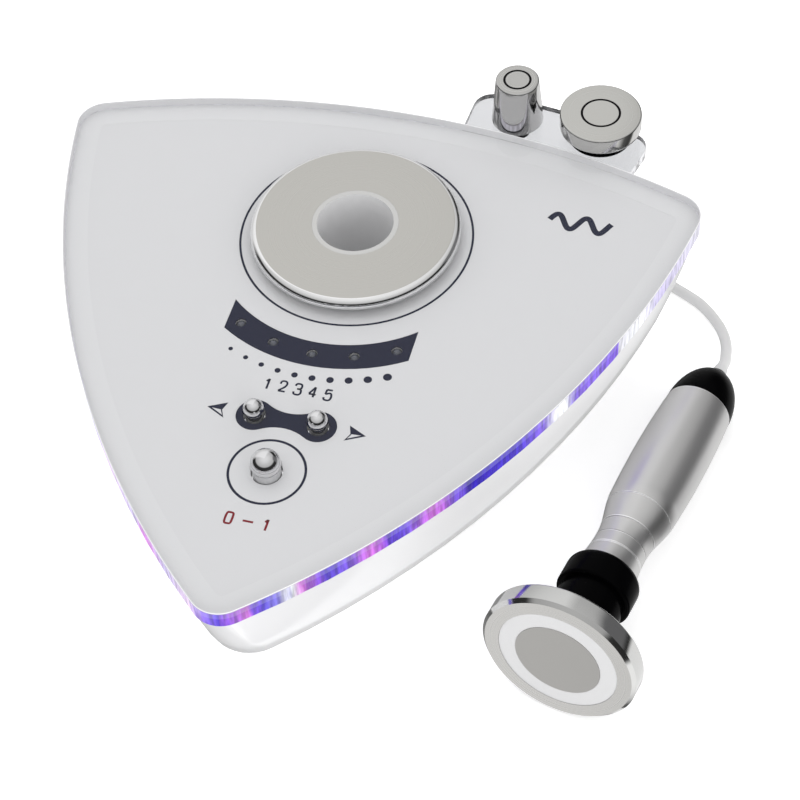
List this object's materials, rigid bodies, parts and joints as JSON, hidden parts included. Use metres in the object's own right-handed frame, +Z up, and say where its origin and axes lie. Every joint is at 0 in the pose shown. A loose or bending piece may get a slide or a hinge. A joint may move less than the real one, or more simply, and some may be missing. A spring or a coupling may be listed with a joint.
{
  "type": "facial toning device",
  "caption": "Three-cornered table console with a turned dock, ball buttons and a clear rack of spare probes, with a corded handpiece lying beside it.",
  "frame": {"origin": "on the table under the axis of the dock, at the foot under the dock", "axes": "+Z up along the dock's axis, +Y to the back of the console, where the rack and the cord are, +X to the console's right as seen from its front tip, which points to -Y"},
  "size_m": [0.3241, 0.3305, 0.082],
  "materials": {
    "casing_white": "glossy white moulding",
    "screw_steel": "zinc plated screw",
    "foot_rubber": "soft black rubber",
    "light_band": "clear acrylic lit from inside in blue and violet",
    "strip_cream": "flexible light strip",
    "panel_white": "pale grey white panel",
    "clear_plate": "polished clear acrylic",
    "navy_inlay": "dark navy inlay",
    "lamp_clear": "water clear lamp",
    "ring_steel": "satin steel with a polished round edge",
    "cup_white": "white moulding",
    "board_green": "green solder mask",
    "black_matte": "matt black plastic",
    "core_iron": "varnished core",
    "sink_aluminium": "plain extrusion",
    "sleeve_navy": "shrink sleeve",
    "ribbon_grey": "flat ribbon",
    "gland_grey": "pale grey soft moulding",
    "clear_rack": "polished clear acrylic",
    "ball_chrome": "polished chrome",
    "probe_steel": "satin steel faces with polished rims",
    "probe_black": "glossy black",
    "handle_aluminium": "satin anodised",
    "cord_grey": "smooth pale grey jacket",
    "tie_grey": "soft tie"
  },
  "bodies": {
    "console": {"lower_casing": "casing_white", "casing_screws": "screw_steel", "feet": "foot_rubber", "light_guide": "light_band", "rim_light_strip": "strip_cream", "backing_panel": "panel_white", "top_plate": "clear_plate", "display_window": "navy_inlay", "level_lamps": "lamp_clear", "button_inlay": "navy_inlay", "dock_ring": "ring_steel", "dock_cup": "cup_white", "dock_nut": "cup_white", "control_board": "board_green", "switch_bodies": "black_matte", "generator_board": "board_green", "output_transformer": "core_iron", "heat_sink": "sink_aluminium", "capacitors": "sleeve_navy", "ribbon_cable": "ribbon_grey", "power_jack": "black_matte", "cord_gland": "gland_grey", "probe_rack": "clear_rack", "rack_screws": "screw_steel", "cord_lead": "cord_grey", "cord_hank": "cord_grey", "hank_tie": "tie_grey", "cord_tail": "cord_grey"},
    "power_button": {"power_button": "ball_chrome", "power_plunger": "black_matte"},
    "minus_button": {"minus_button": "ball_chrome", "minus_plunger": "black_matte"},
    "plus_button": {"plus_button": "ball_chrome", "plus_plunger": "black_matte"},
    "eye_probe": {"eye_shell": "probe_steel", "eye_insulator": "probe_black", "eye_electrode": "probe_steel", "eye_plug": "probe_black"},
    "face_probe": {"face_shell": "probe_steel", "face_insulator": "probe_black", "face_electrode": "probe_steel", "face_collar": "probe_black", "face_plug": "probe_black"},
    "handpiece": {"handle_collar": "probe_black", "handle_shell": "handle_aluminium", "handle_core": "cup_white", "tail_cap": "probe_black", "cord_sleeve": "gland_grey"},
    "body_probe": {"head_shell": "probe_steel", "head_insulator": "cup_white", "head_electrode": "probe_steel", "head_neck": "probe_black", "head_plug": "probe_black"}
  },
  "joints": [
    {"name": "power_press", "type": "slide", "parent": "console", "child": "power_button", "axis": [0, 0, -1], "range_m": [0, 0.001], "stiffness_N_per_m": 800, "springref_m": -0.0006},
    {"name": "minus_press", "type": "slide", "parent": "console", "child": "minus_button", "axis": [0, 0, -1], "range_m": [0, 0.001], "stiffness_N_per_m": 800, "springref_m": -0.0006},
    {"name": "plus_press", "type": "slide", "parent": "console", "child": "plus_button", "axis": [0, 0, -1], "range_m": [0, 0.001], "stiffness_N_per_m": 800, "springref_m": -0.0006},
    {"name": "eye_probe_lift", "type": "slide", "parent": "console", "child": "eye_probe", "axis": [0, 0, 1], "range_m": [0, 0.04]},
    {"name": "face_probe_lift", "type": "slide", "parent": "console", "child": "face_probe", "axis": [0, 0, 1], "range_m": [0, 0.04]},
    {"name": "handpiece_lift", "type": "slide", "parent": "console", "child": "handpiece", "axis": [0, 0, 1], "range_m": [0, 0.06]},
    {"name": "body_probe_pull", "type": "slide", "parent": "handpiece", "child": "body_probe", "axis": [-0.198, -0.9731, 0.1176], "range_m": [0, 0.013]}
  ]
}
